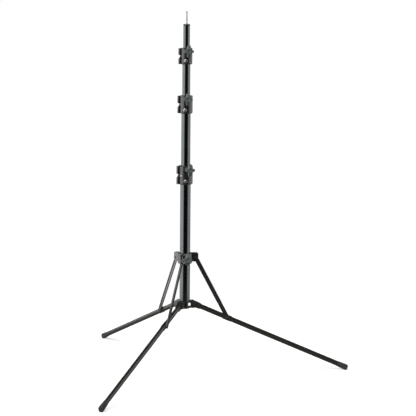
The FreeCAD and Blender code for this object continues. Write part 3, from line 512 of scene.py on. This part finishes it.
def between(points, along):
    """Reach at a distance along the axis, from straight lines through the points, in metres."""
    place = along / MM
    if place <= points[0][0]:
        return points[0][1] * MM
    for (x0, y0), (x1, y1) in zip(points, points[1:]):
        if place <= x1:
            return (y0 + (y1 - y0) * (place - x0) / (x1 - x0)) * MM
    return points[-1][1] * MM


def softened(points, along):
    """The same reach averaged over a short length, which rounds the corners of the profile."""
    offsets = [(2 * index / (KNOB_SAMPLES - 1) - 1) * KNOB_SOFT for index in range(KNOB_SAMPLES)]
    return sum(between(points, along + offset) for offset in offsets) / KNOB_SAMPLES


def soft_max(one, two, reach):
    """The larger of two numbers, with the corner between them rounded over a reach."""
    mix = max(reach - abs(one - two), 0) / reach
    return max(one, two) + mix * mix * reach / 4


def soft_min(one, two, reach):
    """The smaller of two numbers, rounded the same way."""
    return -soft_max(-one, -two, reach)


def knob_reach(along, angle):
    """Distance from the axis to the knob's surface; the long wings lie on the local Z axis."""
    core = softened(KNOB_CORE, along)
    wing_side = WING_HALF / max(abs(math.cos(angle)), 1e-4)
    cross_side = CROSS_HALF / max(abs(math.sin(angle)), 1e-4)
    wing = soft_min(softened(KNOB_WING, along), wing_side, KNOB_BLEND)
    cross = soft_min(softened(KNOB_CROSS, along), cross_side, KNOB_BLEND)
    return soft_max(soft_max(core, wing, KNOB_BLEND), cross, KNOB_BLEND)


def knob_ring(along, scale=1.0):
    """Ring of points on the knob's surface, drawn in towards the axis by a scale below 1."""
    step = math.tau / KNOB_SPOKES
    ring = []
    for index in range(KNOB_SPOKES):
        angle = step * index
        reach = knob_reach(along, angle) * scale
        ring.append((along, reach * math.cos(angle), reach * math.sin(angle)))
    return ring


def make_knob(clamp, collar):
    """Moulded grip with two long and two short wings and a dished end, on its clamp's axis."""
    node = f"{collar}_knob"
    joint = JOINTS[f"{clamp}_knob_turn"]
    axis = Vector(joint["axis"])
    hub = frame_on(Vector(joint["pos_m"]), axis, UP.cross(axis))
    low, high = extent(node, hub)
    place = hub @ Matrix.Translation((low.x, 0, 0))
    length = high.x - low.x
    steps = round(length / KNOB_STEP)
    dish = [(0, KNOB_DISH_RADIUS + KNOB_DISH_RIM), (KNOB_DISH_LIP, KNOB_DISH_RADIUS),
            (KNOB_DISH_DEPTH, KNOB_DISH_RADIUS - KNOB_DISH_SLOPE), (KNOB_DISH_DEPTH, KNOB_DISH_FLOOR)]
    rings = [round_ring(0, KNOB_STEM_RADIUS, KNOB_SPOKES)]
    rings += [knob_ring(length * index / steps) for index in range(steps)]
    rings += [knob_ring(length, scale) for scale in KNOB_TIP_SCALES]
    rings += [round_ring(length - depth, radius, KNOB_SPOKES) for depth, radius in dish]
    piece = new_piece(f"{node}_moulded", lofted(rings, place), node)
    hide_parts(node)


# ---------------------------------------------------------------- boots

BOOT_RINGS = 44
BOOT_POINTS = 64
BOOT_SQUARENESS = 3.0
# (fraction of the boot's length, fraction of its full section)
BOOT_SHAPE = [(0.0, 0.86), (0.02, 0.885), (0.12, 0.89), (0.30, 0.92), (0.48, 0.965), (0.62, 0.995),
              (0.76, 1.0), (0.88, 0.985), (0.95, 0.94), (0.985, 0.87), (1.0, 0.78)]
BOOT_SETTLE = 0.35 * MM
BOOT_TOE_SCALE = 0.5


def superellipse(half_width, half_height, count, power):
    """Points of a rounded rectangle in the local YZ plane."""
    points = []
    for index in range(count):
        angle = math.tau * index / count
        cosine, sine = math.cos(angle), math.sin(angle)
        points.append((math.copysign(abs(cosine) ** (2 / power), cosine) * half_width,
                       math.copysign(abs(sine) ** (2 / power), sine) * half_height))
    return points


def section_at(fraction):
    """Share of the boot's full section at a fraction of its length, on straight lines between points."""
    for (x0, y0), (x1, y1) in zip(BOOT_SHAPE, BOOT_SHAPE[1:]):
        if fraction <= x1:
            share = (fraction - x0) / (x1 - x0)
            return y0 + (y1 - y0) * share
    return BOOT_SHAPE[-1][1]


def make_boot(side):
    """Rubber boot that flares to a rounded toe and settles flat on the floor."""
    node = f"{side}_leg_foot"
    pivot = joint_point(f"{side}_leg_fold")
    place = frame_on(pivot, leg_direction(side), -Vector(JOINTS[f"{side}_leg_fold"]["axis"]))
    low, high = extent(node, place)
    length = high.x - low.x
    outlines = []
    for index in range(BOOT_RINGS + 1):
        # Rings crowd together towards the toe, where the shape turns most.
        fraction = math.sin(math.pi / 2 * index / BOOT_RINGS)
        size = section_at(fraction)
        section = superellipse(high.y * size, high.z * size, BOOT_POINTS, BOOT_SQUARENESS)
        outlines.append([(low.x + length * fraction, y, z) for y, z in section])
    last = outlines[-1]
    outlines.append([(x, y * BOOT_TOE_SCALE, z * BOOT_TOE_SCALE) for x, y, z in last])
    mesh = lofted(outlines, place)
    lowest = min(vertex.co.z for vertex in mesh.verts)
    back = place.inverted()
    for vertex in mesh.verts:
        share = ((back @ vertex.co).x - low.x) / length
        vertex.co.z = max(vertex.co.z - (lowest + BOOT_SETTLE) * share, 0.0)
    piece = new_piece(f"{node}_moulded", mesh, node)
    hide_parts(node)


# ---------------------------------------------------------------- screws

SCREW_POINTS = 48
DIMPLE_SHARE = 0.22
DOME_STEPS = 9
DOME_START = 8
DOME_TURN = 66
DOME_FULLNESS = 0.8
SCREW_ROUND = 0.12 * MM
# (share of the head's height, share of its radius) under the dome, and of the dimple's radius on top
SCREW_FOOT = [(0.0, 0.45), (0.0, 0.97), (0.06, 1.0)]
SCREW_DIMPLE = [(0.01, 1.0), (0.30, 0.75), (0.34, 0.3)]


def islands(mesh):
    """Connected groups of vertices of a bmesh."""
    left = set(mesh.verts)
    groups = []
    while left:
        front = [left.pop()]
        group = set(front)
        while front:
            vertex = front.pop()
            for edge in vertex.link_edges:
                other = edge.other_vert(vertex)
                if other in left:
                    left.remove(other)
                    group.add(other)
                    front.append(other)
        groups.append(group)
    return groups


def screw_rings(face, crown, radius):
    """Rings of a smooth domed head with a small drive dimple; the shank stays hidden in the collar."""
    height = crown - face
    outline = [(face + height * up, radius * out) for up, out in SCREW_FOOT]
    for step in range(DOME_STEPS + 1):
        turn = math.radians(DOME_START + DOME_TURN * step / DOME_STEPS)
        outline.append((face + height * math.sin(turn), radius * math.cos(turn) ** DOME_FULLNESS))
    outline += [(crown - height * down, radius * DIMPLE_SHARE * out) for down, out in SCREW_DIMPLE]
    return [round_ring(along, reach, SCREW_POINTS) for along, reach in outline]


def make_screws(collar):
    """Button-head screws on a lock collar, one for each solid of its CAD node."""
    node = f"{collar}_screws"
    source = bmesh.new()
    source.from_mesh(frame["nodes"][node].data)
    bmesh.ops.remove_doubles(source, verts=source.verts[:], dist=WELD)
    heads = []
    for group in islands(source):
        middle = sum((vertex.co for vertex in group), Vector()) / len(group)
        heading = Vector((middle.x, middle.y, 0)).normalized()
        heights = [vertex.co.z for vertex in group]
        reaches = [vertex.co.dot(heading) for vertex in group]
        level = (min(heights) + max(heights)) / 2
        radius = (max(heights) - min(heights)) / 2
        rim = min(reach for reach, vertex in zip(reaches, group) if abs(vertex.co.z - level) > radius * 0.9)
        heads.append((heading, level, radius, rim, max(reaches)))
    source.free()
    made = bmesh.new()
    for heading, level, radius, face, crown in heads:
        place = frame_on(UP * level, heading, UP.cross(heading))
        part = lofted(screw_rings(face, crown, radius), place)
        copy = bpy.data.meshes.new("screw")
        bmesh.ops.recalc_face_normals(part, faces=part.faces)
        part.to_mesh(copy)
        part.free()
        made.from_mesh(copy)
        bpy.data.meshes.remove(copy)
    piece = new_piece(f"{node}_turned", made, node)
    round_edges(piece, SCREW_ROUND, 2)
    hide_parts(node)


# ---------------------------------------------------------------- pieces

CASTING_ROUND = 0.55 * MM
ROUNDED = {
    "base_hub": CASTING_ROUND,
    "leg_collar_body": CASTING_ROUND,
    "leg_pivot_pins": 0.35 * MM,
    "leg_collar_rivets": 0.3 * MM,
    "top_cap": 0.3 * MM,
    "spigot_pin": 0.15 * MM,
}
ROUNDED.update({f"{collar}_body": CASTING_ROUND for collar in LOCK_COLLARS})
ROUNDED.update({f"{collar}_bush": 0.2 * MM for collar in LOCK_COLLARS})
for leg in LEGS:
    ROUNDED[f"{leg}_leg_root"] = 0.7 * MM
    ROUNDED[f"{leg}_leg_saddle"] = 0.25 * MM
    ROUNDED[f"{leg}_strut_bar"] = 0.35 * MM
    ROUNDED[f"{leg}_strut_rivets"] = 0.3 * MM


def dress_frame():
    """Gives every CAD node that stays on show its own material."""
    for node, shown in frame["nodes"].items():
        for slot in shown.material_slots:
            slot.material = material_for(node)


dress_frame()
for tube_node in TUBES:
    make_tube(tube_node)
for rounded_node, round_width in ROUNDED.items():
    rounded(rounded_node, round_width)
for clamp_name, collar_name in CLAMPS.items():
    make_knob(clamp_name, collar_name)
for leg_side in LEGS:
    make_boot(leg_side)
for collar_name in LOCK_COLLARS:
    make_screws(collar_name)


# ---------------------------------------------------------------- studio

FLOOR_RADIUS = 1.05
CAMERA_PLACE = Vector((-0.217, -4.293, 1.139))
CAMERA_TARGET = Vector((0, 0, 0.520))
CAMERA_YAW = math.radians(-0.937)
CAMERA_ROLL = math.radians(0.56)
CAMERA_LENS = 121.15
SENSOR = 36.0
FLOOR_GLOW = 0.45
SUN_POWER = 2.6
SUN_AIM = Vector((0.35, 0.62, -0.80))
SUN_SPREAD = math.radians(50)
AMBIENT = 0.02
# Height of a direction where the lights end, and where they are full
LIGHT_TOP = (0.75, 0.35)
# Axis of the direction, where the light begins, where it is full, and how bright it is
STUDIO_LIGHTS = [("X", -0.62, -0.80, 2.8), ("X", 0.66, 0.88, 1.9), ("Y", 0.45, 0.95, 0.20)]


def make_camera():
    """Long lens, a little above the stand's middle, aimed just right of the column."""
    data = bpy.data.cameras.new("camera")
    data.lens = CAMERA_LENS
    data.sensor_width = SENSOR
    camera = bpy.data.objects.new("camera", data)
    bpy.context.scene.collection.objects.link(camera)
    aim = (CAMERA_TARGET - CAMERA_PLACE).to_track_quat("-Z", "Y")
    yaw = Quaternion(UP, CAMERA_YAW)
    roll = Quaternion((0, 0, 1), CAMERA_ROLL)
    camera.rotation_mode = "QUATERNION"
    camera.rotation_quaternion = yaw @ aim @ roll
    camera.location = CAMERA_PLACE
    bpy.context.scene.camera = camera


def make_floor():
    """Plain pale disc under the stand, near white in the picture but dim in the stand's reflections."""
    mesh = bmesh.new()
    bmesh.ops.create_circle(mesh, cap_ends=True, radius=FLOOR_RADIUS, segments=128)
    data = bpy.data.meshes.new("floor")
    mesh.to_mesh(data)
    mesh.free()
    floor = bpy.data.objects.new("floor", data)
    bpy.context.scene.collection.objects.link(floor)
    graph = Graph("pale_floor")
    direct = graph.add("ShaderNodeLightPath").outputs["Is Camera Ray"]
    pale = graph.blend(graph.noise(0.3, 2.0), (0.86, 0.86, 0.86), (0.90, 0.90, 0.90))
    graph.colour(graph.blend(direct, (0.25, 0.25, 0.25), pale))
    graph.shader.inputs["Emission Color"].default_value = (1, 1, 1, 1)
    graph.feed(graph.shader.inputs["Emission Strength"], graph.combine("MULTIPLY", direct, FLOOR_GLOW))
    graph.constant(Roughness=0.9)
    data.materials.append(graph.material)


def make_sun():
    """Soft high light from the front left; it shapes the knobs and gives the feet a faint shadow."""
    data = bpy.data.lights.new("overhead", "SUN")
    data.energy = SUN_POWER
    data.angle = SUN_SPREAD
    sun = bpy.data.objects.new("overhead", data)
    bpy.context.scene.collection.objects.link(sun)
    sun.rotation_mode = "QUATERNION"
    sun.rotation_quaternion = SUN_AIM.to_track_quat("-Z", "Y")


def make_world():
    """White to the camera; to the stand, a large left light, a weaker right one and a dark front."""
    world = bpy.data.worlds.new("studio")
    bpy.context.scene.world = world
    world.use_nodes = True
    tree = world.node_tree
    tree.nodes.clear()
    link = tree.links.new
    direction = tree.nodes.new("ShaderNodeTexCoord").outputs["Generated"]
    split = tree.nodes.new("ShaderNodeSeparateXYZ")
    link(direction, split.inputs[0])

    def ramp(axis, low, high):
        node = tree.nodes.new("ShaderNodeMapRange")
        node.interpolation_type = "SMOOTHSTEP"
        link(split.outputs[axis], node.inputs["Value"])
        node.inputs["From Min"].default_value = low
        node.inputs["From Max"].default_value = high
        return node.outputs["Result"]

    def joined(operation, one, two):
        node = tree.nodes.new("ShaderNodeMath")
        node.operation = operation
        for socket, source in zip(node.inputs, (one, two)):
            if isinstance(source, bpy.types.NodeSocket):
                link(source, socket)
            else:
                socket.default_value = source
        return node.outputs[0]

    level = ramp("Z", *LIGHT_TOP)
    total = AMBIENT
    for axis, low, high, strength in STUDIO_LIGHTS:
        shown = joined("MULTIPLY", ramp(axis, low, high), level)
        total = joined("ADD", joined("MULTIPLY", shown, strength), total)
    surround = tree.nodes.new("ShaderNodeBackground")
    link(total, surround.inputs["Strength"])
    backdrop = tree.nodes.new("ShaderNodeBackground")
    backdrop.inputs["Color"].default_value = (1, 1, 1, 1)
    path = tree.nodes.new("ShaderNodeLightPath")
    choose = tree.nodes.new("ShaderNodeMixShader")
    link(path.outputs["Is Camera Ray"], choose.inputs[0])
    link(surround.outputs[0], choose.inputs[1])
    link(backdrop.outputs[0], choose.inputs[2])
    output = tree.nodes.new("ShaderNodeOutputWorld")
    link(choose.outputs[0], output.inputs["Surface"])


make_camera()
make_floor()
make_sun()
make_world()
bpy.context.scene.view_settings.view_transform = "Standard"
